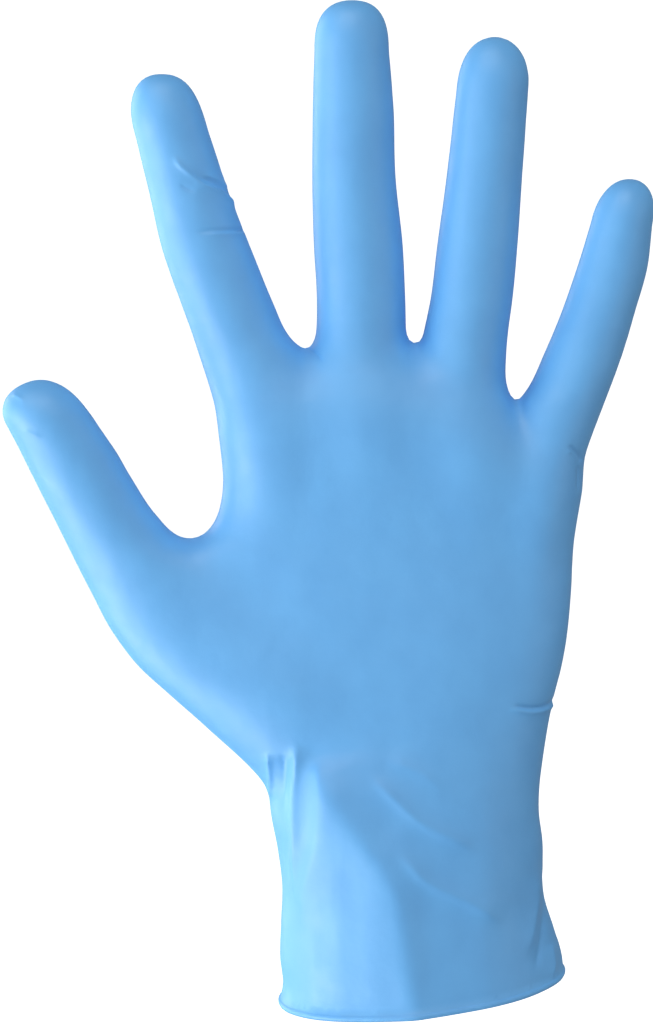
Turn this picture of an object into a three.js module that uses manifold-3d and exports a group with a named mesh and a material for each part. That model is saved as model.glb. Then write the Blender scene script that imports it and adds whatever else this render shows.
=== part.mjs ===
// A disposable glove in the form that it has when it is worn, fingers up and spread.
// It is one dipped film, so it is one solid: a hollow palm and cuff, a thumb and four fingers
// that open into it, and a bead where the edge of the cuff is rolled.
// Millimetres, +Z up the hand, -Y out of the palm, +X towards the little finger.
// The origin is the middle of the cuff's opening, where the wrist goes in.
import * as THREE from 'three';
import { mergeVertices } from 'three/addons/utils/BufferGeometryUtils.js';
import Module from 'manifold-3d';

const WALL = 1.3; // measured level, so about 1 mm through a sloping side
const RIM_TILT = 0.11; // rise of the rim for each mm towards the little finger
const RIM_PITCH = 0.08; // fall of the rim for each mm towards the palm side
const RIM_REACH = 55; // height over which tilt and pitch die out
const KNUCKLE_DROP = 14; // how much lower the palm ends at the little finger than at the index finger
const KNUCKLE_FROM = { x: -5, z: 95 }; // the drop grows from here
const KNUCKLE_TO = { x: 30, z: 140 }; // and is whole from here on
const BEAD = { height: 2.2, bulge: 0.7 }; // the rolled edge
const CUFF_OVERRUN = 12; // how far the hollow reaches past the rim before it is cut out
const DOME_SLICES = [0.3, 0.6, 0.82, 0.95]; // shares of a rounded end's height

// Each branch is a stack of level sections. A row gives the height of a section, its left and right
// ends, its palm side (front) and its hand-back side (back). The end is a dome from the last row to the
// tip. square is the power of the section's superellipse, 2 being an ellipse, and round the dome's.
const PALM_AND_CUFF = {
  rows: [
    { z: 0, left: -34.6, right: 35.2, front: -22.0, back: 22.0, square: 2.1 },
    { z: 4, left: -33.5, right: 34.8, front: -21.8, back: 21.8, square: 2.1 },
    { z: 12, left: -34.1, right: 32.9, front: -21.5, back: 21.5, square: 2.1 },
    { z: 20, left: -34.2, right: 31.2, front: -21.1, back: 21.1, square: 2.1 },
    { z: 28, left: -33.9, right: 30.4, front: -20.6, back: 20.6, square: 2.1 },
    { z: 36, left: -35.0, right: 30.1, front: -20.0, back: 20.2, square: 2.1 },
    { z: 44, left: -36.5, right: 29.3, front: -19.2, back: 19.6, square: 2.2 },
    { z: 50, left: -37.2, right: 29.2, front: -18.5, back: 19.0, square: 2.2 },
    { z: 57, left: -38.8, right: 30.0, front: -17.4, back: 18.3, square: 2.3 },
    { z: 64, left: -42.0, right: 31.2, front: -16.5, back: 17.6, square: 2.4 },
    { z: 72, left: -45.0, right: 32.6, front: -15.8, back: 16.8, square: 2.5 },
    { z: 80, left: -46.5, right: 34.5, front: -15.2, back: 16.1, square: 2.6 },
    { z: 90, left: -48.0, right: 36.0, front: -14.4, back: 15.3, square: 2.7 },
    { z: 100, left: -50.0, right: 36.6, front: -13.6, back: 14.8, square: 2.7 },
    { z: 109, left: -54.6, right: 36.8, front: -13.0, back: 14.3, square: 2.7 },
    { z: 112.5, left: -52.6, right: 36.9, front: -12.9, back: 14.1, square: 2.7 },
    { z: 117, left: -49.7, right: 37.1, front: -12.8, back: 13.9, square: 2.7 },
    { z: 125, left: -48.2, right: 37.5, front: -12.6, back: 13.6, square: 2.7 },
    { z: 136, left: -48.8, right: 38.6, front: -12.4, back: 13.1, square: 2.7 },
  ],
  tip: { x: -4, y: 0.4, z: 158, round: 2.3 },
  sides: 48,
};
const THUMB = {
  rows: [
    { z: 45, left: -29.0, right: -12.0, front: -7.0, back: 7.5, square: 2 },
    { z: 50, left: -36.8, right: -11.0, front: -10.4, back: 10.2, square: 2 },
    { z: 57, left: -43.6, right: -11.0, front: -12.0, back: 11.4, square: 2 },
    { z: 64, left: -51.1, right: -13.0, front: -12.6, back: 12.0, square: 2 },
    { z: 72, left: -60.0, right: -18.0, front: -12.4, back: 12.2, square: 2 },
    { z: 80, left: -68.7, right: -25.0, front: -11.8, back: 12.0, square: 2 },
    { z: 88, left: -74.7, right: -32.5, front: -11.2, back: 11.2, square: 2 },
    { z: 98, left: -79.9, right: -41.4, front: -10.6, back: 10.0, square: 2 },
    { z: 106, left: -84.0, right: -49.9, front: -10.6, back: 8.6, square: 2 },
    { z: 109.5, left: -85.6, right: -54.4, front: -10.7, back: 8.0, square: 2 },
    { z: 112.5, left: -87.0, right: -59.2, front: -10.9, back: 7.3, square: 2 },
    { z: 117, left: -89.2, right: -63.4, front: -11.3, back: 6.5, square: 2 },
    { z: 126, left: -93.5, right: -69.4, front: -12.3, back: 4.6, square: 2 },
    { z: 133, left: -96.7, right: -73.6, front: -13.3, back: 3.0, square: 2 },
    { z: 139, left: -99.8, right: -77.9, front: -14.3, back: 1.6, square: 2 },
  ],
  tip: { x: -92.9, y: -7.6, z: 149.7, round: 1.9 },
  sides: 18,
};
const INDEX_FINGER = {
  rows: [
    { z: 116, left: -44.0, right: -26.0, front: -8.5, back: 8.5, square: 2 },
    { z: 128, left: -47.8, right: -24.0, front: -11.3, back: 11.3, square: 2 },
    { z: 140, left: -49.6, right: -24.2, front: -12.0, back: 11.8, square: 2 },
    { z: 148, left: -51.3, right: -25.4, front: -11.6, back: 11.0, square: 2 },
    { z: 156, left: -53.7, right: -27.8, front: -11.2, back: 10.0, square: 2 },
    { z: 161, left: -55.4, right: -31.9, front: -11.0, back: 9.4, square: 2 },
    { z: 168, left: -58.0, right: -35.6, front: -10.9, back: 8.6, square: 2 },
    { z: 180, left: -62.2, right: -40.4, front: -11.0, back: 7.2, square: 2 },
    { z: 196, left: -65.9, right: -46.7, front: -11.6, back: 4.9, square: 2 },
    { z: 208, left: -68.6, right: -51.0, front: -12.3, back: 2.9, square: 2 },
  ],
  tip: { x: -62.2, y: -6, z: 222.2, round: 2.5 },
  sides: 16,
};
const MIDDLE_FINGER = {
  rows: [
    { z: 124, left: -23.0, right: -3.0, front: -9.0, back: 9.0, square: 2 },
    { z: 138, left: -25.8, right: -0.2, front: -12.0, back: 12.0, square: 2 },
    { z: 148, left: -26.4, right: -0.9, front: -11.6, back: 11.4, square: 2 },
    { z: 156, left: -26.9, right: -2.3, front: -11.2, back: 10.8, square: 2 },
    { z: 161, left: -26.0, right: -3.3, front: -11.0, back: 10.4, square: 2 },
    { z: 168, left: -25.4, right: -3.8, front: -10.9, back: 9.8, square: 2 },
    { z: 182, left: -26.0, right: -4.7, front: -11.1, back: 8.6, square: 2 },
    { z: 198, left: -26.4, right: -6.2, front: -11.6, back: 6.8, square: 2 },
    { z: 214, left: -26.2, right: -6.7, front: -12.6, back: 4.4, square: 2 },
    { z: 228, left: -25.9, right: -7.9, front: -13.8, back: 1.8, square: 2 },
  ],
  tip: { x: -16.9, y: -6.8, z: 239.6, round: 2.6 },
  sides: 16,
};
const RING_FINGER = {
  rows: [
    { z: 114, left: 1.5, right: 20.5, front: -8.8, back: 8.8, square: 2 },
    { z: 130, left: -1.2, right: 23.4, front: -11.7, back: 11.6, square: 2 },
    { z: 144, left: -1.2, right: 23.2, front: -11.6, back: 11.1, square: 2 },
    { z: 148, left: -1.2, right: 21.4, front: -11.4, back: 10.8, square: 2 },
    { z: 156, left: -1.2, right: 20.5, front: -11.0, back: 10.2, square: 2 },
    { z: 161, left: -0.2, right: 21.0, front: -10.8, back: 9.8, square: 2 },
    { z: 168, left: 1.8, right: 21.8, front: -10.6, back: 9.2, square: 2 },
    { z: 182, left: 3.6, right: 22.9, front: -10.6, back: 7.8, square: 2 },
    { z: 200, left: 6.0, right: 24.2, front: -11.3, back: 5.5, square: 2 },
    { z: 219, left: 7.8, right: 25.3, front: -12.8, back: 2.4, square: 2 },
  ],
  tip: { x: 16.9, y: -6, z: 231.1, round: 2.2 },
  sides: 16,
};
const LITTLE_FINGER = {
  rows: [
    { z: 104, left: 19.0, right: 33.5, front: -8.0, back: 8.0, square: 2 },
    { z: 119, left: 19.6, right: 38.0, front: -10.4, back: 10.4, square: 2 },
    { z: 130, left: 21.4, right: 40.0, front: -10.8, back: 10.4, square: 2 },
    { z: 144, left: 22.9, right: 44.4, front: -10.5, back: 9.5, square: 2 },
    { z: 148, left: 25.8, right: 45.9, front: -10.2, back: 9.0, square: 2 },
    { z: 156, left: 29.1, right: 48.6, front: -9.8, back: 8.2, square: 2 },
    { z: 166, left: 33.4, right: 51.3, front: -9.6, back: 7.0, square: 2 },
    { z: 177, left: 37.4, right: 54.2, front: -9.8, back: 5.4, square: 2 },
    { z: 187, left: 40.2, right: 55.3, front: -10.3, back: 3.8, square: 2 },
  ],
  tip: { x: 49.6, y: -4, z: 197.8, round: 2.2 },
  sides: 14,
};

// The film's main folds, on the palm side. Each is a straight ridge, or a groove where lift is under 0,
// that fades at both ends.
const FOLDS = [
  { name: 'ridge of the cuff, upper', from: [-29, 62], to: [-12, 32], width: 6, lift: 1.8 },
  { name: 'ridge of the cuff, lower', from: [-16, 42], to: [-7, -4], width: 8, lift: 2.6 },
  { name: 'hollow beside the ridge', from: [-10, 48], to: [4, 4], width: 7, lift: -1.6 },
  { name: 'slanting ridge', from: [-16, 54], to: [18, 32], width: 4, lift: 1.1 },
  { name: 'low slanting ridge', from: [-4, 31], to: [22, 15], width: 4, lift: 0.9 },
  { name: 'heel pleat', from: [-32, 64], to: [-32, 34], width: 2.6, lift: 1.8 },
  { name: 'pleat groove', from: [-28.5, 60], to: [-29.5, 34], width: 2.4, lift: -1.3 },
  { name: 'side pleat', from: [28, 32], to: [24, -2], width: 3.4, lift: -1.8 },
];
const FOLD_FADE = 0.3; // share of a fold's length over which each end fades

const smoothstep = THREE.MathUtils.smoothstep;

function foldLift(x, z) {
  let lift = 0;
  for (const fold of FOLDS) {
    const [x0, z0] = fold.from;
    const [dx, dz] = [fold.to[0] - x0, fold.to[1] - z0];
    const along = THREE.MathUtils.clamp(((x - x0) * dx + (z - z0) * dz) / (dx * dx + dz * dz), 0, 1);
    const away = Math.hypot(x - x0 - along * dx, z - z0 - along * dz);
    const fade = smoothstep(along, 0, FOLD_FADE) * smoothstep(1 - along, 0, FOLD_FADE);
    lift += fold.lift * fade * Math.exp(-((away / fold.width) ** 2));
  }
  return lift;
}

// How far a point of the palm and cuff is raised: the rim's slant below, the knuckle line's above.
function slant(x, y, z) {
  const rim = (RIM_TILT * x + RIM_PITCH * y) * (1 - smoothstep(z, 0, RIM_REACH));
  const knuckles =
    KNUCKLE_DROP * smoothstep(x, KNUCKLE_FROM.x, KNUCKLE_TO.x) * smoothstep(z, KNUCKLE_FROM.z, KNUCKLE_TO.z);
  return rim - knuckles;
}

// One level section as a ring of points, moved in by inset.
function ring(section, sides, inset, isBody) {
  const x0 = (section.left + section.right) / 2;
  const y0 = (section.front + section.back) / 2;
  const halfWidth = (section.right - section.left) / 2 - inset;
  const halfDepth = (section.back - section.front) / 2 - inset;
  const power = 2 / section.square;
  return Array.from({ length: sides }, (_, i) => {
    const turn = (2 * Math.PI * i) / sides;
    const [c, s] = [Math.cos(turn), Math.sin(turn)];
    const x = x0 + halfWidth * Math.sign(c) * Math.abs(c) ** power;
    let y = y0 + halfDepth * Math.sign(s) * Math.abs(s) ** power;
    if (!isBody) return [x, y, section.z];
    if (s < 0) y -= foldLift(x, section.z) * -s;
    return [x, y, section.z + slant(x, y, section.z)];
  });
}

// The sections of a branch from its first row to its rounded end.
function sectionsOf(branch, inset) {
  const last = branch.rows.at(-1);
  const height = branch.tip.z - inset - last.z;
  const dome = DOME_SLICES.map((share) => {
    const size = (1 - share ** branch.tip.round) ** (1 / branch.tip.round);
    const towards = (low, high, tip) => {
      const middle = THREE.MathUtils.lerp((low + high) / 2, tip, share);
      const half = ((high - low) / 2 - inset) * size + inset;
      return [middle - half, middle + half];
    };
    const [left, right] = towards(last.left, last.right, branch.tip.x);
    const [front, back] = towards(last.front, last.back, branch.tip.y);
    return { z: last.z + share * height, left, right, front, back, square: last.square };
  });
  return [...branch.rows, ...dome];
}

// A closed mesh through the rings, with a fan at each end.
function loft(rings, apex) {
  const sides = rings[0].length;
  const middle = new THREE.Vector3();
  rings[0].forEach((p) => middle.add(new THREE.Vector3(...p)));
  middle.divideScalar(sides);
  const points = [...rings.flat(), middle.toArray(), apex];
  const [start, end] = [points.length - 2, points.length - 1];
  const top = (rings.length - 1) * sides;
  const index = [];
  for (let j = 0; j < sides; j++) {
    const k = (j + 1) % sides;
    index.push(start, k, j, end, top + j, top + k);
    for (let base = 0; base < top; base += sides) {
      index.push(base + j, base + k, base + sides + k, base + j, base + sides + k, base + sides + j);
    }
  }
  const geometry = new THREE.BufferGeometry();
  geometry.setAttribute('position', new THREE.Float32BufferAttribute(points.flat(), 3));
  geometry.setIndex(index);
  return geometry;
}

function branchGeometry(branch, inset) {
  const isBody = branch === PALM_AND_CUFF;
  const rings = sectionsOf(branch, inset).map((section) => ring(section, branch.sides, inset, isBody));
  if (isBody) {
    const rim = branch.rows[0];
    if (inset > 0) {
      const below = ring(rim, branch.sides, inset, true);
      rings.unshift(below.map(([x, y, z]) => [x, y, z - CUFF_OVERRUN]));
    } else {
      rings.splice(0, 1, ...beadRings(branch));
    }
  }
  const tipZ = branch.tip.z - inset;
  const lift = isBody ? slant(branch.tip.x, branch.tip.y, branch.tip.z) : 0;
  return loft(rings, [branch.tip.x, branch.tip.y, tipZ + lift]);
}

// The rolled edge: the outside swells round a half circle above the rim.
function beadRings(branch) {
  const rim = branch.rows[0];
  return [0, 0.25, 0.5, 0.75, 1].map((share) => {
    const swell = BEAD.bulge * Math.sin(Math.PI * share) ** 0.5;
    const rolled = ring(rim, branch.sides, -swell, true);
    return rolled.map(([x, y, z]) => [x, y, z + share * BEAD.height]);
  });
}

const wasm = await Module();
wasm.setup();

function solidOf(geometry) {
  const merged = mergeVertices(geometry, 1e-4);
  return new wasm.Manifold(
    new wasm.Mesh({
      numProp: 3,
      vertProperties: merged.attributes.position.array,
      triVerts: new Uint32Array(merged.index.array),
    }),
  );
}

function geometryOf(solid) {
  const mesh = solid.getMesh();
  const geometry = new THREE.BufferGeometry();
  geometry.setAttribute('position', new THREE.BufferAttribute(mesh.vertProperties, 3));
  geometry.setIndex(new THREE.BufferAttribute(mesh.triVerts, 1));
  geometry.computeVertexNormals();
  return geometry;
}

const BRANCHES = [PALM_AND_CUFF, THUMB, INDEX_FINGER, MIDDLE_FINGER, RING_FINGER, LITTLE_FINGER];

function joined(inset) {
  return BRANCHES.map((branch) => solidOf(branchGeometry(branch, inset))).reduce((all, one) => all.add(one));
}

const nitrile = new THREE.MeshStandardMaterial({ color: 0x74b4ea, roughness: 0.45, metalness: 0 });
const glove = new THREE.Mesh(geometryOf(joined(0).subtract(joined(WALL))), nitrile);
glove.name = 'glove';

const group = new THREE.Group();
group.add(glove);

export default group;
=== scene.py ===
import math
from collections import namedtuple

import bmesh
import bpy
import numpy as np
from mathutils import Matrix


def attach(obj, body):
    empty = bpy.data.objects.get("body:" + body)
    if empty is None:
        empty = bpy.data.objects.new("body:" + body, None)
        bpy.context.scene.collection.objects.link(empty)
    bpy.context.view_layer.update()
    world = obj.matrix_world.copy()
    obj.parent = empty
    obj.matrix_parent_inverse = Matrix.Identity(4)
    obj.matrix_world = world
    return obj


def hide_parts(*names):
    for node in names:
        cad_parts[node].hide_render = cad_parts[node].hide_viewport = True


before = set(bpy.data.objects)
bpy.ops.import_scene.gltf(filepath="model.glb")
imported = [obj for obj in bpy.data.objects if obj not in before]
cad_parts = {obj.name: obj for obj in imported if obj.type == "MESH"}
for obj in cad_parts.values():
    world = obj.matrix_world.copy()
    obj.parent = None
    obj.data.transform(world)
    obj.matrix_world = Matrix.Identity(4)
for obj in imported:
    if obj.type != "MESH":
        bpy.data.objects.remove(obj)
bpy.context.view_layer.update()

# A disposable glove of thin light blue nitrile, in the form that it has when it is worn: fingers up and
# spread, palm towards the camera. The film is worked out in millimetres and scaled to metres at the end.
MM = 0.001
CELL = 1.45  # spacing of the film's mesh, halved once or twice at the folds
FILM = 0.45  # thickness of the film as it is shown
ROLL = 0.8  # radius of the rolled edge
ROLL_TURNS = 12  # facets round the rolled edge
ROLL_DROP = 1.05  # how far the roll's middle lies below the film's edge, in radii
EDGE_HEIGHT = 2 * ROLL  # where the film ends and the roll starts
BOX_LOW = (-107.0, -28.0, EDGE_HEIGHT)  # corners of a box round the film
BOX_HIGH = (62.0, 28.0, 246.0)

# The rim and the knuckle line slant, as in the solid.
RIM_TILT = 0.11
RIM_PITCH = 0.08
RIM_REACH = 55.0
KNUCKLE_DROP = 14.0
KNUCKLE_FROM = (-5.0, 95.0)
KNUCKLE_TO = (30.0, 140.0)

# How softly the branches flow into each other, and how far a finger's root reaches down into the palm.
FINGER_BLEND = 3.2
PALM_BLEND = 5.0
THUMB_BLEND = 11.0
HEEL_BLEND = 2.0  # at the foot of the ball of the thumb, which stands off the wrist
HEEL_FROM = 50.0
HEEL_TO = 78.0
ROOT = 14.0
NEAR = 12.0  # how far round a branch its skin is worked out
FAR = 60.0  # stands for any distance too long to matter

# Each branch is a stack of level sections. A row gives height, left, right, palm side, back side and the
# power of the section's superellipse, 2 being an ellipse. The end is a dome from the last row to the tip.
PALM = {
    "rows": [
        (0, -34.6, 35.2, -22.0, 22.0, 2.1),
        (4, -33.6, 34.7, -21.8, 21.8, 2.1),
        (12, -34.3, 32.7, -21.5, 21.5, 2.1),
        (20, -34.1, 30.9, -21.1, 21.1, 2.1),
        (28, -33.6, 30.2, -20.6, 20.6, 2.1),
        (36, -34.6, 30.0, -20.0, 20.2, 2.1),
        (44, -36.2, 29.1, -19.2, 19.6, 2.2),
        (50, -37.0, 29.2, -18.5, 19.0, 2.2),
        (57, -38.8, 29.9, -17.4, 18.3, 2.3),
        (64, -42.0, 30.9, -16.5, 17.6, 2.4),
        (72, -45.0, 32.4, -15.8, 16.8, 2.5),
        (80, -46.5, 34.3, -15.2, 16.1, 2.6),
        (90, -48.0, 35.8, -14.4, 15.3, 2.7),
        (100, -50.0, 36.4, -13.6, 14.8, 2.7),
        (106, -51.6, 36.5, -13.2, 14.5, 2.7),
        (112, -51.1, 36.5, -12.9, 14.1, 2.7),
        (118, -49.0, 36.6, -12.9, 13.8, 2.7),
        (125, -47.4, 37.0, -13.1, 13.6, 2.7),
        (136, -47.3, 37.9, -13.4, 13.1, 2.7),
    ],
    "tip": (-7.0, 0.4, 157.2),
    "round": 2.3,
}
THUMB = {
    "rows": [
        (45, -29.0, -12.0, -7.0, 7.5, 2.0),
        (50, -36.2, -11.0, -10.4, 10.2, 2.0),
        (57, -43.4, -11.0, -12.0, 11.4, 2.0),
        (64, -51.1, -13.0, -12.6, 12.0, 2.0),
        (72, -60.0, -18.0, -12.4, 12.2, 2.0),
        (80, -68.8, -25.0, -11.8, 12.0, 2.0),
        (88, -74.8, -32.5, -11.2, 11.2, 2.0),
        (98, -80.0, -41.2, -10.6, 10.0, 2.0),
        (106, -84.0, -50.0, -10.6, 8.6, 2.0),
        (112, -86.8, -59.5, -10.9, 7.4, 2.0),
        (117, -89.2, -64.1, -11.3, 6.5, 2.0),
        (126, -93.5, -69.9, -12.3, 4.6, 2.0),
        (133, -96.7, -73.8, -13.3, 3.0, 2.0),
        (139, -99.6, -77.7, -14.3, 1.6, 2.0),
    ],
    "tip": (-91.2, -7.4, 149.9),
    "round": 1.9,
}
INDEX = {
    "rows": [
        (116, -43.6, -26.0, -8.5, 8.5, 2.0),
        (128, -46.6, -24.0, -11.3, 11.3, 2.0),
        (140, -49.2, -24.4, -12.0, 11.8, 2.0),
        (148, -51.3, -25.6, -11.6, 11.0, 2.0),
        (156, -53.8, -28.8, -11.2, 10.0, 2.0),
        (161, -55.4, -32.6, -11.0, 9.4, 2.0),
        (168, -57.9, -35.8, -10.9, 8.6, 2.0),
        (180, -62.1, -40.5, -11.0, 7.2, 2.0),
        (196, -65.7, -46.8, -11.6, 4.9, 2.0),
        (208, -68.4, -50.7, -12.3, 2.9, 2.0),
    ],
    "tip": (-61.8, -6.0, 222.4),
    "round": 2.5,
}
MIDDLE = {
    "rows": [
        (124, -23.0, -3.0, -9.0, 9.0, 2.0),
        (138, -25.8, -0.6, -12.0, 12.0, 2.0),
        (148, -26.4, -1.4, -11.6, 11.4, 2.0),
        (156, -26.2, -3.2, -11.2, 10.8, 2.0),
        (161, -25.4, -3.7, -11.0, 10.4, 2.0),
        (168, -25.2, -3.9, -10.9, 9.8, 2.0),
        (182, -25.9, -4.6, -11.1, 8.6, 2.0),
        (198, -26.3, -6.3, -11.6, 6.8, 2.0),
        (214, -26.2, -6.9, -12.6, 4.4, 2.0),
        (228, -25.8, -8.1, -13.8, 1.8, 2.0),
    ],
    "tip": (-16.9, -6.8, 239.6),
    "round": 2.5,
}
RING = {
    "rows": [
        (114, 1.5, 20.5, -8.8, 8.8, 2.0),
        (130, -1.0, 23.4, -11.7, 11.6, 2.0),
        (144, -1.0, 22.2, -11.6, 11.1, 2.0),
        (148, -1.0, 20.7, -11.4, 10.8, 2.0),
        (156, -0.5, 20.4, -11.0, 10.2, 2.0),
        (161, 0.5, 20.8, -10.8, 9.8, 2.0),
        (168, 1.9, 21.7, -10.6, 9.2, 2.0),
        (182, 3.7, 22.9, -10.6, 7.8, 2.0),
        (200, 6.0, 24.0, -11.3, 5.5, 2.0),
        (219, 8.0, 25.1, -12.8, 2.4, 2.0),
    ],
    "tip": (16.9, -6.0, 230.9),
    "round": 2.15,
}
LITTLE = {
    "rows": [
        (104, 19.0, 33.0, -8.0, 8.0, 2.0),
        (119, 19.6, 36.5, -10.4, 10.4, 2.0),
        (130, 21.4, 39.2, -10.8, 10.4, 2.0),
        (144, 23.4, 44.2, -10.5, 9.5, 2.0),
        (148, 26.1, 45.7, -10.2, 9.0, 2.0),
        (156, 29.7, 48.5, -9.8, 8.2, 2.0),
        (166, 33.7, 51.3, -9.6, 7.0, 2.0),
        (177, 37.3, 54.1, -9.8, 5.4, 2.0),
        (187, 40.2, 55.0, -10.3, 3.8, 2.0),
    ],
    "tip": (49.3, -4.0, 197.7),
    "round": 2.2,
}
for branch in (PALM, THUMB, INDEX, MIDDLE, RING, LITTLE):
    branch["rows"] = np.array(branch["rows"], float)

# A fold is a ridge (lift above 0) or a groove (below 0) along a curve through points in x and z. Curves run
# down or to the right. Left and right give how wide the fold is on either side, as seen from the palm side.
# On a curve that runs to the right, left is the side below it. The crest is the roundness of the fold's
# middle. The fold rises over the length "start" and dies out over "end".
Fold = namedtuple("Fold", "side lift left right crest start end points")

FOLDS = {
    "ridge down the cuff": Fold(
        "palm", 2.6, 9.0, 6.0, 2.2, 14.0, 0.0,
        [(-26.8, 62), (-22.8, 53), (-18.5, 46), (-13.8, 39), (-9.5, 34), (-5.9, 23.5), (-2.8, 6), (-1.1, -2)],
    ),
    "wrist pleat": Fold(
        "palm", 1.5, 0.8, 1.7, 0.5, 5.0, 13.0,
        [(-30.2, 64), (-30, 55), (-29.8, 48), (-29.9, 38), (-29.9, 30), (-29.9, 22)],
    ),
    "second wrist pleat": Fold(
        "palm", 1.5, 1.9, 6.0, 1.4, 5.0, 14.0,
        [(-24.8, 61), (-23.8, 55), (-23.4, 50), (-24, 41), (-25.9, 32), (-27.9, 24), (-28.7, 14)],
    ),
    "groove under the thumb": Fold(
        "palm", -0.8, 1.3, 0.7, 0.4, 3.0, 14.0, [(-33.0, 61), (-32.9, 55), (-32.8, 48), (-32.6, 40)]
    ),
    "lip of the thumb's ball": Fold(
        "palm", 0.8, 0.7, 0.6, 0.3, 3.0, 4.0, [(-37.1, 61), (-36.5, 56), (-36, 51), (-35.7, 47)]
    ),
    "upper slanting ridge": Fold("palm", 0.5, 1.3, 1.9, 0.6, 5.0, 8.0, [(-9, 59.6), (-0.7, 56.6), (6.4, 51)]),
    "middle slanting ridge": Fold(
        "palm", 0.9, 1.3, 1.9, 0.5, 8.0, 7.0, [(-13.5, 56.6), (-9, 52.5), (-1, 45.3), (5, 41.9), (13.5, 38)]
    ),
    "lower slanting ridge": Fold(
        "palm", 1.0, 1.3, 2.0, 0.5, 8.0, 7.0, [(-6, 38.5), (0.6, 31.2), (6.6, 27.8), (12, 25), (20, 20)]
    ),
    "pleat at the cuff's right": Fold(
        "palm", 0.7, 1.6, 1.2, 0.7, 5.0, 6.0, [(28.5, 31), (28.1, 23.4), (26.9, 17.3), (24.3, 10.6)]
    ),
    "groove at the cuff's right": Fold(
        "palm", -0.7, 1.0, 1.0, 0.6, 4.0, 5.0, [(30.6, 31), (30.4, 22), (29.4, 14), (27.4, 7)]
    ),
    "small ridge at the cuff's right": Fold(
        "palm", 0.5, 0.7, 0.7, 0.4, 2.0, 2.0, [(31.8, 13), (32.4, 8.2), (31.7, 4.2)]
    ),
    "pinch of the index finger": Fold(
        "palm", 0.6, 0.5, 0.7, 0.2, 4.0, 3.0,
        [(-59.2, 203.6), (-57.8, 201), (-55.6, 199), (-53, 197.3), (-50.6, 196.2)],
    ),
    "lower end of the pinch": Fold(
        "palm", 0.75, 0.8, 0.5, 0.2, 5.0, 0.0,
        [(-54.9, 197.2), (-52.4, 196.1), (-50.4, 195.5), (-47.6, 194.2), (-45, 192)],
    ),
    "valley above the pinch": Fold(
        "palm", -0.5, 0.4, 0.6, 0.2, 3.5, 0.0,
        [(-55.8, 199.9), (-53.3, 197.9), (-50.4, 196.8), (-48, 195.5), (-45.4, 193.5)],
    ),
    "ridge above the pinch": Fold(
        "palm", 0.36, 0.4, 0.4, 0.2, 2.0, 0.0, [(-52.3, 198.8), (-50.2, 198), (-48.5, 197.2), (-46.6, 195.9)]
    ),
    "dent below the pinch": Fold(
        "palm", -0.3, 0.4, 0.5, 0.2, 1.5, 2.5, [(-57.8, 196.4), (-55.8, 195.3), (-53.2, 194.3)]
    ),
    "crease of the index finger": Fold(
        "palm", -0.4, 0.35, 0.4, 0.2, 3.5, 0.0, [(-54.5, 184.8), (-49.1, 185.4), (-43, 185.5)]
    ),
    "line below that crease": Fold(
        "palm", 0.2, 0.35, 0.3, 0.2, 3.0, 0.0, [(-51.5, 184.4), (-43, 184.7)]
    ),
    "first ridge of the thumb": Fold(
        "palm", 0.22, 0.4, 0.5, 0.2, 1.5, 1.5, [(-98.2, 146.8), (-96, 145.9), (-94, 144.9)]
    ),
    "second ridge of the thumb": Fold(
        "palm", 0.22, 0.4, 0.5, 0.2, 1.5, 2.0, [(-95.4, 138.1), (-93, 137.4), (-90.2, 136.4)]
    ),
    "groove at the little finger's root": Fold(
        "palm", -0.45, 0.4, 0.4, 0.2, 1.5, 1.5, [(34.6, 134.5), (36, 133.3), (37.7, 131.5), (38.5, 129.6)]
    ),
    "ridge beside it": Fold(
        "palm", 0.35, 0.4, 0.4, 0.2, 1.5, 1.5, [(34.2, 133.6), (35.9, 132), (37.1, 129.8), (37.6, 128)]
    ),
    "lower groove there": Fold(
        "palm", -0.4, 0.4, 0.4, 0.2, 1.5, 3.0,
        [(34.9, 133), (36.4, 131.3), (37.2, 129.3), (37.5, 126.8), (37.4, 122)],
    ),
    "crease of the palm's edge": Fold(
        "palm", -0.5, 0.4, 0.5, 0.2, 2.5, 0.0,
        [(21.8, 72.3), (24.5, 71.3), (26.6, 70.95), (29.2, 70.9), (32, 71.6)],
    ),
    "ridge below that crease": Fold(
        "palm", 0.5, 0.5, 0.4, 0.2, 3.0, 0.0,
        [(20.4, 71.3), (24.4, 70.4), (26.3, 70), (29.3, 70), (32, 70.5)],
    ),
    "wrinkle at the index web": Fold(
        "palm", -0.4, 0.35, 0.35, 0.2, 0.5, 2.0, [(-27.6, 157.3), (-25.4, 156), (-23.6, 154)]
    ),
    "left pleat at the back": Fold("back", 1.2, 4.0, 3.0, 1.6, 16.0, 0.0, [(-20, 52), (-23, 30), (-22, -2)]),
    "middle pleat at the back": Fold("back", 0.9, 3.5, 4.5, 1.6, 18.0, 0.0, [(2, 48), (-2, 28), (1, -2)]),
    "right pleat at the back": Fold("back", 1.2, 3.0, 4.0, 1.4, 16.0, 0.0, [(17, 56), (21, 32), (18, -2)]),
}

# Faint wrinkles over the middle joints at the back: each joint's middle in x and z, and its half width.
BACK_JOINTS = [(-57.5, 177, 6.5), (-15, 188, 7), (12.5, 182, 6.5), (42.5, 164, 6)]
WRINKLE_STEPS = (-3.2, -1.1, 1.0, 3.0)
WRINKLE_BOW = 0.8
for number, (x, z, half) in enumerate(BACK_JOINTS):
    for step in WRINKLE_STEPS:
        bow = WRINKLE_BOW if step > 0 else -WRINKLE_BOW
        points = [(x - half, z + step - bow), (x, z + step), (x + half, z + step - bow)]
        FOLDS[f"joint {number} wrinkle {step}"] = Fold("back", -0.16, 0.5, 0.5, 0.4, 3.0, 3.0, points)

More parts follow.
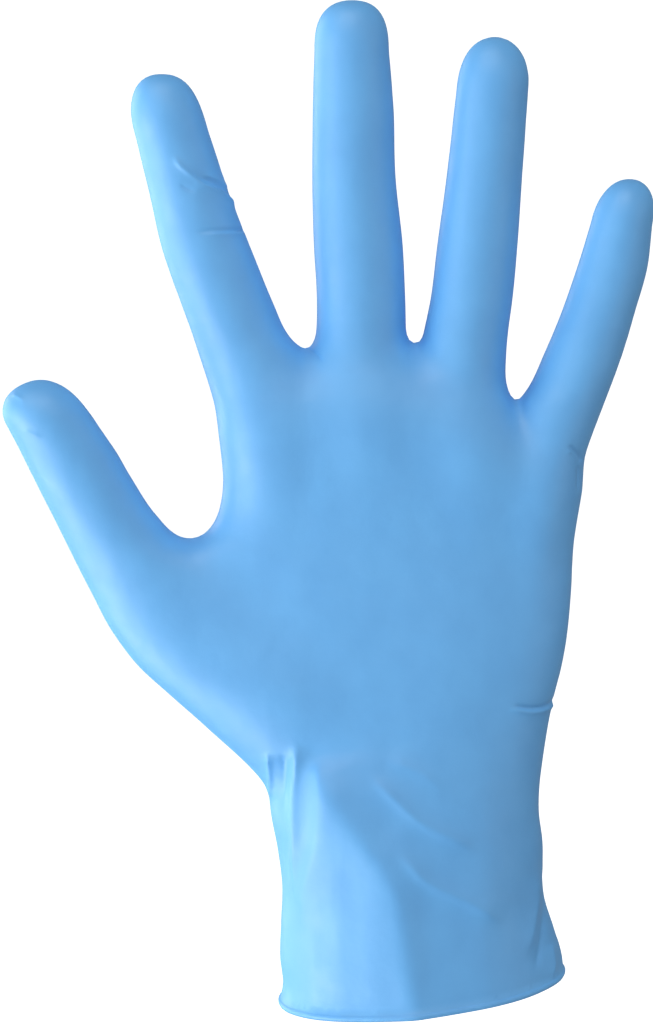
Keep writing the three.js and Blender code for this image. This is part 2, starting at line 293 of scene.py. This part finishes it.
FOLD_REACH = 4.5  # a fold fades to nothing at this many widths from its crest
NARROW, NARROW_REACH = 2.4, 3.0  # folds up to this width get a finer mesh, this many widths to each side
FINE, FINE_REACH = 1.05, 2.5  # and these an even finer one
CLEAR_OF_RIM = 2.5  # the mesh stays as it is this close to the rim
INNER_FOLDS = 1.0  # folds narrower than this don't show on the inner side
PAST_EDGE = 3.0  # how far beyond the middle plane a side's folds get their finer mesh
EDGE_ON = 0.3  # a side's folds fade out where the skin turns from it

# The slight waves of a thin film: their lengths, and their height as a share of the length.
WAVES = (34.0, 27.0, 19.0, 15.0, 11.0, 8.0)
HAND_WAVE = 0.0016
CUFF_WAVE = 0.0050
CUFF_END = 30.0  # up to here the film is as wavy as a cuff
HAND_START = 70.0  # and from here on as even as over a hand


def smoothstep(t):
    """0 below t = 0, 1 above t = 1, and a smooth rise between."""
    t = np.clip(t, 0.0, 1.0)
    return t * t * (3.0 - 2.0 * t)


def rim_slant(x, y, z):
    """How far the rim's slant raises a point of the cuff."""
    return (RIM_TILT * x + RIM_PITCH * y) * (1.0 - smoothstep(z / RIM_REACH))


def knuckle_drop(x, z):
    """How far the knuckle line's slant lowers a point of the palm."""
    across = smoothstep((x - KNUCKLE_FROM[0]) / (KNUCKLE_TO[0] - KNUCKLE_FROM[0]))
    return KNUCKLE_DROP * across * smoothstep((z - KNUCKLE_FROM[1]) / (KNUCKLE_TO[1] - KNUCKLE_FROM[1]))


def smooth_rows(rows, z):
    """A branch's section at each height z, on smooth curves through its rows."""
    heights = rows[:, 0]
    slopes = np.gradient(rows, heights, axis=0)
    z = np.clip(z, heights[0], heights[-1])
    low = np.clip(np.searchsorted(heights, z, side="right") - 1, 0, len(heights) - 2)
    step = heights[low + 1] - heights[low]
    t = ((z - heights[low]) / step)[:, None]
    step = step[:, None]
    start = (2 * t**3 - 3 * t**2 + 1) * rows[low] + (t**3 - 2 * t**2 + t) * step * slopes[low]
    end = (3 * t**2 - 2 * t**3) * rows[low + 1] + (t**3 - t**2) * step * slopes[low + 1]
    return (start + end).T


def middle_of(row):
    """The middle of a section, as x, y and z."""
    return (row[1] + row[2]) / 2, (row[3] + row[4]) / 2, row[0]


def level(branch, x, y, z):
    """0 in the middle of a branch, 1 on its skin, more outside. The dome starts with the branch's lean."""
    rows = branch["rows"]
    tip_x, tip_y, tip_z = branch["tip"]
    x0, y0, z0 = middle_of(rows[-2])
    x1, y1, z1 = middle_of(rows[-1])
    lean = (tip_z - z1) / (z1 - z0)
    _, left, right, front, back, power = smooth_rows(rows, z)
    above = np.clip((z - z1) / (tip_z - z1), 0.0, None)
    below = 0.0 if branch is PALM else np.clip((rows[0, 0] - z) / ROOT, 0.0, None)
    along = np.minimum(above, 1.0)
    mid_x = (left + right) / 2 + (x1 - x0) * lean * (along - along**2) + (tip_x - x1) * along**2
    mid_y = (front + back) / 2 + (y1 - y0) * lean * (along - along**2) + (tip_y - y1) * along**2
    across = np.abs((x - mid_x) / (right - left) * 2) ** power
    across += np.abs((y - mid_y) / (back - front) * 2) ** power
    across **= 1.0 / power
    roundness = branch["round"]
    return (across**roundness + (above + below) ** roundness) ** (1.0 / roundness)


def distance(branch, x, y, z, eps=0.05):
    """About how far outside a branch's skin each point lies, and FAR where it is nowhere near."""
    rows = branch["rows"]
    bottom = -FAR if branch is PALM else rows[0, 0] - ROOT
    near = (x > rows[:, 1].min() - NEAR) & (x < rows[:, 2].max() + NEAR)
    near &= (z > bottom - NEAR) & (z < branch["tip"][2] + NEAR)
    out = np.full(len(x), FAR)
    x, y, z = x[near], y[near], z[near]
    here = level(branch, x, y, z)
    slope = (level(branch, x + eps, y, z) - here) ** 2
    slope += (level(branch, x, y + eps, z) - here) ** 2
    slope += (level(branch, x, y, z + eps) - here) ** 2
    out[near] = (here - 1.0) / np.maximum(np.sqrt(slope) / eps, 1.0 / FAR)
    return out


def melt(a, b, reach):
    """The union of two skins, with a soft fillet where they meet."""
    h = np.clip(reach - np.abs(a - b), 0.0, None) / reach
    return np.minimum(a, b) - h * h * reach / 4.0


def curve_through(points, steps=8):
    """A smooth curve (Catmull-Rom) through the points, as short straight stretches."""
    p = np.array([points[0], *points, points[-1]], float)
    t = (np.arange(steps) / steps)[:, None]
    parts = []
    for a, b, c, d in zip(p, p[1:], p[2:], p[3:]):
        bend = (2 * a - 5 * b + 4 * c - d) * t**2 + (3 * b - a - 3 * c + d) * t**3
        parts.append(0.5 * (2 * b + (c - a) * t + bend))
    return np.concatenate([*parts, p[-1:]])


def fold_lift(fold, x, z):
    """How far a fold lifts the film at each place, as seen from the palm side."""
    curve = curve_through(fold.points)
    reach = fold.crest + FOLD_REACH * max(fold.left, fold.right)
    near = (x > curve[:, 0].min() - reach) & (x < curve[:, 0].max() + reach)
    near &= (z > curve[:, 1].min() - reach) & (z < curve[:, 1].max() + reach)
    x, z = x[near], z[near]
    best = np.full(len(x), np.inf)
    side = np.zeros(len(x))
    run = np.zeros(len(x))
    length = 0.0
    for (x0, z0), (x1, z1) in zip(curve, curve[1:]):
        dx, dz = x1 - x0, z1 - z0
        stretch = math.hypot(dx, dz)
        t = np.clip(((x - x0) * dx + (z - z0) * dz) / stretch**2, 0.0, 1.0)
        off_x, off_z = x - x0 - t * dx, z - z0 - t * dz
        away = np.hypot(off_x, off_z)
        closer = away < best
        best[closer] = away[closer]
        side[closer] = (off_z * dx - off_x * dz)[closer]
        run[closer] = length + t[closer] * stretch
        length += stretch
    width = np.where(side > 0, fold.right, fold.left)
    shape = np.exp(-(np.hypot(best, fold.crest) - fold.crest) / width) * smoothstep((reach - best) / width)
    if fold.start:
        shape *= smoothstep(run / fold.start)
    if fold.end:
        shape *= smoothstep((length - run) / fold.end)
    lift = np.zeros(len(near))
    lift[near] = fold.lift * shape
    return lift


def skin(points):
    """Below 0 inside the glove's outer skin. Points are in the film's own heights, where the rim is level."""
    x, y, height = points.T
    z = height + rim_slant(x, y, height)
    flat = height.copy()
    for _ in range(8):
        flat = height + knuckle_drop(x, flat)
    palm = distance(PALM, x, y, flat)
    fingers = melt(distance(INDEX, x, y, z), distance(MIDDLE, x, y, z), FINGER_BLEND)
    fingers = melt(fingers, distance(RING, x, y, z), FINGER_BLEND)
    fingers = melt(fingers, distance(LITTLE, x, y, z), FINGER_BLEND)
    hand = melt(palm, fingers, PALM_BLEND)
    above_heel = smoothstep((z - HEEL_FROM) / (HEEL_TO - HEEL_FROM))
    return melt(hand, distance(THUMB, x, y, z), HEEL_BLEND + (THUMB_BLEND - HEEL_BLEND) * above_heel)


def skin_slope(points, eps=0.08):
    """How fast the skin's distance grows along each axis."""
    slope = np.empty_like(points)
    for axis in range(3):
        step = np.zeros(3)
        step[axis] = eps
        slope[:, axis] = (skin(points + step) - skin(points - step)) / (2 * eps)
    return slope


def settle(points, border, rounds=2, least=0.05):
    """Moves points onto the skin. Those on the border keep their height."""
    for _ in range(rounds):
        slope = skin_slope(points)
        slope[border, 2] = 0.0
        steepness = np.maximum((slope**2).sum(axis=1), least)
        points = points - (skin(points) / steepness)[:, None] * slope
    return points


def net(low, high, cell):
    """Quads round the skin inside a box, one point in each cell that the skin passes through."""
    counts = [int(round((b - a) / cell)) + 1 for a, b in zip(low, high)]
    axes = [a + cell * np.arange(n) for a, n in zip(low, counts)]
    lattice = np.stack(np.meshgrid(*axes, indexing="ij"), axis=-1).reshape(-1, 3)
    values = skin(lattice).reshape(counts)
    corner = [(i, j, k) for i in (0, 1) for j in (0, 1) for k in (0, 1)]
    nx, ny, nz = counts
    at = np.stack([values[i : nx - 1 + i, j : ny - 1 + j, k : nz - 1 + k] for i, j, k in corner], axis=-1)
    crossed = (at.min(axis=-1) < 0) & (at.max(axis=-1) >= 0)
    cells = np.argwhere(crossed)
    number = np.full(crossed.shape, -1)
    number[crossed] = np.arange(len(cells))
    at = at[crossed]
    total = np.zeros((len(cells), 3))
    count = np.zeros(len(cells))
    for a in range(8):
        for b in range(a + 1, 8):
            if sum(abs(p - q) for p, q in zip(corner[a], corner[b])) != 1:
                continue
            cut = (at[:, a] < 0) != (at[:, b] < 0)
            share = at[cut, a] / (at[cut, a] - at[cut, b])
            start, end = np.array(corner[a], float), np.array(corner[b], float)
            total[cut] += start + share[:, None] * (end - start)
            count[cut] += 1
    points = np.array(low) + cell * (cells + total / count[:, None])
    quads = []
    inside = values < 0
    for axis in range(3):
        u, v = (axis + 1) % 3, (axis + 2) % 3
        here = np.moveaxis(inside, (axis, u, v), (0, 1, 2))
        ids = np.moveaxis(number, (axis, u, v), (0, 1, 2))
        out = here[:-1, 1:-1, 1:-1] & ~here[1:, 1:-1, 1:-1]
        back = ~here[:-1, 1:-1, 1:-1] & here[1:, 1:-1, 1:-1]
        for mask, order in ((out, (0, 1, 2, 3)), (back, (3, 2, 1, 0))):
            i, j, k = np.nonzero(mask)
            ring = [ids[i, j, k], ids[i, j + 1, k], ids[i, j + 1, k + 1], ids[i, j, k + 1]]
            quads.append(np.stack([ring[o] for o in order], axis=1))
    return points, np.concatenate(quads)


def sides_of(quads):
    """The four sides of each quad, the way it runs."""
    return np.concatenate([quads[:, [0, 1]], quads[:, [1, 2]], quads[:, [2, 3]], quads[:, [3, 0]]])


def edges_of(quads):
    """Each edge once, and whether it is open, with a quad on one side only."""
    edges, counts = np.unique(np.sort(sides_of(quads), axis=1), axis=0, return_counts=True)
    return edges, counts == 1


def relaxed(points, quads, height, rounds=6, pull=0.6):
    """Evens out the mesh on the skin. The open edge stays level at the given height."""
    edges, is_open = edges_of(quads)
    border = np.zeros(len(points), bool)
    border[edges[is_open].ravel()] = True
    points = points.copy()
    points[border, 2] = height
    touching = border[edges].sum(axis=1)
    links = np.concatenate([edges[touching == 0], edges[is_open]])
    mixed = edges[touching == 1]
    mixed = np.where(border[mixed[:, [0]]], mixed[:, ::-1], mixed)
    pulls = np.concatenate([links, links[:, ::-1], mixed])
    for _ in range(rounds):
        total = np.zeros_like(points)
        count = np.zeros(len(points))
        np.add.at(total, pulls[:, 0], points[pulls[:, 1]])
        np.add.at(count, pulls[:, 0], 1)
        points += pull * (total / np.maximum(count, 1)[:, None] - points)
        points[border, 2] = height
        points = settle(points, border, 1)
    return settle(points, border)


def near_folds(points, widest, reach):
    """Whether a point lies close to a fold that is no wider than widest."""
    x, _, z = in_world(points).T
    close = np.zeros(len(points), bool)
    for fold in FOLDS.values():
        width = max(fold.left, fold.right)
        if width > widest:
            continue
        side = points[:, 1] < PAST_EDGE if fold.side == "palm" else points[:, 1] > -PAST_EDGE
        curve = curve_through(fold.points, 4)
        for (x0, z0), (x1, z1) in zip(curve, curve[1:]):
            dx, dz = x1 - x0, z1 - z0
            t = np.clip(((x - x0) * dx + (z - z0) * dz) / (dx * dx + dz * dz), 0.0, 1.0)
            close |= side & (np.hypot(x - x0 - t * dx, z - z0 - t * dz) < fold.crest + reach * width)
    return close


def in_world(points):
    """From the film's own heights to real ones."""
    points = points.copy()
    points[:, 2] += rim_slant(*points.T)
    return points


def coordinates(bm):
    """The mesh's points as an array."""
    return np.array([v.co[:] for v in bm.verts])


def set_coordinates(bm, points):
    """Moves the mesh's points to the given places."""
    for vertex, place in zip(bm.verts, points):
        vertex.co = place


def refine(bm, widest, reach):
    """Halves the mesh near narrow folds, clear of the rim, and puts the new points on the skin."""
    points = coordinates(bm)
    close = near_folds(points, widest, reach) & (points[:, 2] > EDGE_HEIGHT + CLEAR_OF_RIM)
    faces = [f for f in bm.faces if any(close[v.index] for v in f.verts)]
    edges = list({e for f in faces for e in f.edges})
    old = len(bm.verts)
    bmesh.ops.subdivide_edges(bm, edges=edges, cuts=1, use_grid_fill=True, use_single_edge=True)
    bm.verts.index_update()
    points = coordinates(bm)
    points[old:] = settle(points[old:], np.zeros(len(points) - old, bool))
    set_coordinates(bm, points)


def unevenness(points):
    """The slight waviness of a thin film: more on the loose cuff than on the hand."""
    rng = np.random.default_rng(5)
    wave = np.zeros(len(points))
    for length in WAVES:
        direction = rng.normal(size=3) * (1.0, 0.6, 0.6)
        direction /= np.linalg.norm(direction)
        wave += length * np.sin(points @ direction * (2 * math.pi / length) + rng.uniform(0, 2 * math.pi))
    on_hand = smoothstep((points[:, 2] - CUFF_END) / (HAND_START - CUFF_END))
    return wave * (CUFF_WAVE + (HAND_WAVE - CUFF_WAVE) * on_hand)


def folded(points, normals, narrowest=0.0):
    """Lifts the film along its normals by its folds, leaving out those narrower than narrowest."""
    lift = unevenness(points)
    x, _, z = points.T
    facing_palm = smoothstep((EDGE_ON - normals[:, 1]) / (2 * EDGE_ON))
    for fold in FOLDS.values():
        if max(fold.left, fold.right) >= narrowest:
            facing = facing_palm if fold.side == "palm" else 1.0 - facing_palm
            lift += fold_lift(fold, x, z) * facing
    return points + normals * lift[:, None]


def unit(vectors):
    """The vectors at length 1."""
    return vectors / np.maximum(np.linalg.norm(vectors, axis=1), 1e-9)[:, None]


def normals_of(points, quads):
    """Unit normals at the points, from the quads round them."""
    a, b, c, d = (points[quads[:, i]] for i in range(4))
    face = np.cross(c - a, d - b)
    total = np.zeros_like(points)
    for i in range(4):
        np.add.at(total, quads[:, i], face)
    return unit(total)


def rim_loop(quads):
    """The open edge's points in order, the way its quads run."""
    edges, is_open = edges_of(quads)
    open_edges = {tuple(e) for e in edges[is_open].tolist()}
    following = {a: b for a, b in sides_of(quads).tolist() if (min(a, b), max(a, b)) in open_edges}
    start = min(following)
    loop = [start]
    while following[loop[-1]] != start:
        loop.append(following[loop[-1]])
    return np.array(loop)


def rolled_edge(edge, outward):
    """Rings of points from the film's outer edge, round the roll, to its inner edge."""
    middle = edge - outward * (FILM / 2)
    middle[:, 2] -= ROLL * ROLL_DROP
    start, end = math.radians(60), math.radians(-240)
    rings = []
    for k in range(ROLL_TURNS + 1):
        turn = start + (end - start) * k / ROLL_TURNS
        ring = middle + outward * (ROLL * math.cos(turn))
        ring[:, 2] += ROLL * math.sin(turn)
        rings.append(ring)
    return rings


def glove_film():
    """The whole glove: the outer skin, the inner skin and the rolled edge between them."""
    points, quads = net(BOX_LOW, BOX_HIGH, CELL)
    points = relaxed(points, quads, EDGE_HEIGHT)

    bm = bmesh.new()
    for place in points:
        bm.verts.new(place)
    bm.verts.ensure_lookup_table()
    for quad in quads.tolist():
        bm.faces.new([bm.verts[i] for i in quad])
    bm.verts.index_update()
    refine(bm, NARROW, NARROW_REACH)
    refine(bm, FINE, FINE_REACH)

    set_coordinates(bm, in_world(coordinates(bm)))
    bm.normal_update()
    normals = np.array([v.normal[:] for v in bm.verts])
    set_coordinates(bm, folded(coordinates(bm), normals))

    world = in_world(points)
    normals = normals_of(world, quads)
    inner = folded(world, normals, INNER_FOLDS) - FILM * normals
    outward = unit(normals * (1.0, 1.0, 0.0))
    loop = rim_loop(quads)
    edge = coordinates(bm)[loop]
    inner_loop = [bm.verts.new(place) for place in inner]
    for quad in quads[:, ::-1].tolist():
        bm.faces.new([inner_loop[i] for i in quad])
    bm.verts.ensure_lookup_table()
    chain = [[bm.verts[i] for i in loop]]
    for ring in rolled_edge(edge, outward[loop]):
        chain.append([bm.verts.new(place) for place in ring])
    chain.append([inner_loop[i] for i in loop])
    for upper, lower in zip(chain, chain[1:]):
        for k in range(len(loop)):
            n = (k + 1) % len(loop)
            bm.faces.new([upper[n], upper[k], lower[k], lower[n]])
    bmesh.ops.scale(bm, vec=(MM, MM, MM), verts=bm.verts)
    mesh = bpy.data.meshes.new("glove_film")
    bm.to_mesh(mesh)
    bm.free()
    mesh.shade_smooth()
    film = bpy.data.objects.new("glove_film", mesh)
    bpy.context.scene.collection.objects.link(film)
    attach(film, "root")
    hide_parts("glove")
    return film


DEEPER_BLUE = (0.134, 0.453, 0.895, 1.0)
LIGHTER_BLUE = (0.144, 0.480, 0.930, 1.0)
MIDDLE_OF_NOISE = (0.35, 0.65)  # the range that most of a noise's values lie in


def nitrile():
    """Light blue satin film: faintly mottled, with a fine grain."""
    material = bpy.data.materials.new("nitrile_film")
    material.use_nodes = True
    nodes, links = material.node_tree.nodes, material.node_tree.links
    shader = nodes["Principled BSDF"]
    shader.inputs["Specular IOR Level"].default_value = 0.8

    place = nodes.new("ShaderNodeTexCoord")

    def noise(scale, detail=3.0):
        """A pattern that is fixed to the film. A larger scale is finer."""
        node = nodes.new("ShaderNodeTexNoise")
        node.inputs["Scale"].default_value = scale
        node.inputs["Detail"].default_value = detail
        links.new(place.outputs["Object"], node.inputs["Vector"])
        return node

    def spread(source, low, high):
        """A noise stretched to run from low to high."""
        node = nodes.new("ShaderNodeMapRange")
        node.inputs["From Min"].default_value = MIDDLE_OF_NOISE[0]
        node.inputs["From Max"].default_value = MIDDLE_OF_NOISE[1]
        node.inputs["To Min"].default_value = low
        node.inputs["To Max"].default_value = high
        links.new(source.outputs["Fac"], node.inputs["Value"])
        return node

    tint = nodes.new("ShaderNodeMix")
    tint.data_type = "RGBA"
    tint.inputs["A"].default_value = DEEPER_BLUE
    tint.inputs["B"].default_value = LIGHTER_BLUE
    links.new(spread(noise(90.0), 0.0, 1.0).outputs["Result"], tint.inputs["Factor"])
    links.new(tint.outputs["Result"], shader.inputs["Base Color"])
    links.new(spread(noise(260.0), 0.46, 0.54).outputs["Result"], shader.inputs["Roughness"])

    grain = nodes.new("ShaderNodeBump")
    grain.inputs["Strength"].default_value = 0.20
    grain.inputs["Distance"].default_value = 0.0001
    links.new(noise(1400.0, 4.0).outputs["Fac"], grain.inputs["Height"])
    wrinkle = nodes.new("ShaderNodeBump")
    wrinkle.inputs["Strength"].default_value = 0.3
    wrinkle.inputs["Distance"].default_value = 0.0006
    links.new(noise(160.0, 2.0).outputs["Fac"], wrinkle.inputs["Height"])
    links.new(grain.outputs["Normal"], wrinkle.inputs["Normal"])
    links.new(wrinkle.outputs["Normal"], shader.inputs["Normal"])
    return material


glove = glove_film()
glove.data.materials.append(nitrile())


# The camera looks down 5 degrees at the middle of the glove, from the palm side.
LOOK_AT = (-0.0229, 0.0, 0.1175)
DISTANCE = 0.700
ELEVATION = math.radians(5)
FRAME_HEIGHT = 0.2483  # what the frame's height takes in at that distance
SENSOR = 36.0


def palm_camera():
    """The camera, in front of the palm."""
    camera = bpy.data.objects.new("camera", bpy.data.cameras.new("camera"))
    bpy.context.scene.collection.objects.link(camera)
    camera.location = (
        LOOK_AT[0],
        LOOK_AT[1] - DISTANCE * math.cos(ELEVATION),
        LOOK_AT[2] + DISTANCE * math.sin(ELEVATION),
    )
    camera.rotation_euler = (math.pi / 2 - ELEVATION, 0.0, 0.0)
    camera.data.sensor_width = SENSOR
    camera.data.lens = SENSOR * DISTANCE / FRAME_HEIGHT
    bpy.context.scene.camera = camera


palm_camera()


def area_light(name, azimuth, elevation, away, size, brightness):
    """A soft box that faces the middle of the glove. Azimuth 0 is the camera's side and 90 the thumb's."""
    light = bpy.data.lights.new(name, "AREA")
    light.shape = "RECTANGLE"
    light.size, light.size_y = size
    light.energy = brightness * math.pi * size[0] * size[1]
    lamp = bpy.data.objects.new(name, light)
    turn, rise = math.radians(azimuth), math.radians(elevation)
    back = np.array((-math.sin(turn) * math.cos(rise), -math.cos(turn) * math.cos(rise), math.sin(rise)))
    lamp.location = np.array(LOOK_AT) + away * back
    lamp.rotation_euler = (math.pi / 2 - rise, 0.0, -turn)
    lamp.visible_camera = False
    bpy.context.scene.collection.objects.link(lamp)


# Name, azimuth, elevation, distance, width and height, and brightness.
LIGHTS = [
    ("key_left", 70, -28, 1.2, (0.9, 1.1), 4.85),
    ("rim_left", 120, 5, 1.2, (0.9, 1.1), 2.5),
    ("front_top", 15, 45, 1.4, (1.4, 0.9), 2.35),
    ("fill_right", -60, 5, 1.2, (0.9, 1.3), 0.55),
]
WORLD_LIGHT = 0.28
for light in LIGHTS:
    area_light(*light)

studio = bpy.data.worlds.new("studio")
studio.use_nodes = True
studio.node_tree.nodes["Background"].inputs["Color"].default_value = (1.0, 1.0, 1.0, 1.0)
studio.node_tree.nodes["Background"].inputs["Strength"].default_value = WORLD_LIGHT
bpy.context.scene.world = studio
bpy.context.scene.view_settings.view_transform = "Standard"


def backdrop():
    """A pale round floor that sweeps up into a wall. It glows evenly, so that it shows white all over."""
    floor_z, radius, bend, wall = -0.15, 4.0, 1.0, 4.0
    sides, bend_steps = 64, 12
    profile = [(0.02, floor_z), (1.0, floor_z), (2.0, floor_z)]
    for k in range(bend_steps + 1):
        turn = math.pi / 2 * k / bend_steps
        profile.append((radius - bend + bend * math.sin(turn), floor_z + bend - bend * math.cos(turn)))
    profile.append((radius, floor_z + wall))
    turns = [2 * math.pi * k / sides for k in range(sides)]
    corners = [(reach * math.cos(turn), reach * math.sin(turn), z) for reach, z in profile for turn in turns]
    quads = [tuple(range(sides))]
    for ring in range(0, (len(profile) - 1) * sides, sides):
        for k in range(sides):
            n = (k + 1) % sides
            quads.append((ring + n, ring + k, ring + sides + k, ring + sides + n))
    mesh = bpy.data.meshes.new("backdrop")
    mesh.from_pydata(corners, [], quads)
    mesh.shade_smooth()
    paper = bpy.data.objects.new("backdrop", mesh)
    bpy.context.scene.collection.objects.link(paper)
    paper.visible_diffuse = False
    paper.visible_glossy = False
    paper.visible_shadow = False  # the key light shines up through it
    material = bpy.data.materials.new("pale_paper")
    material.use_nodes = True
    shader = material.node_tree.nodes["Principled BSDF"]
    shader.inputs["Base Color"].default_value = (0.9, 0.9, 0.9, 1.0)
    shader.inputs["Roughness"].default_value = 0.9
    shader.inputs["Emission Color"].default_value = (1.0, 1.0, 1.0, 1.0)
    shader.inputs["Emission Strength"].default_value = 0.85
    mesh.materials.append(material)


backdrop()
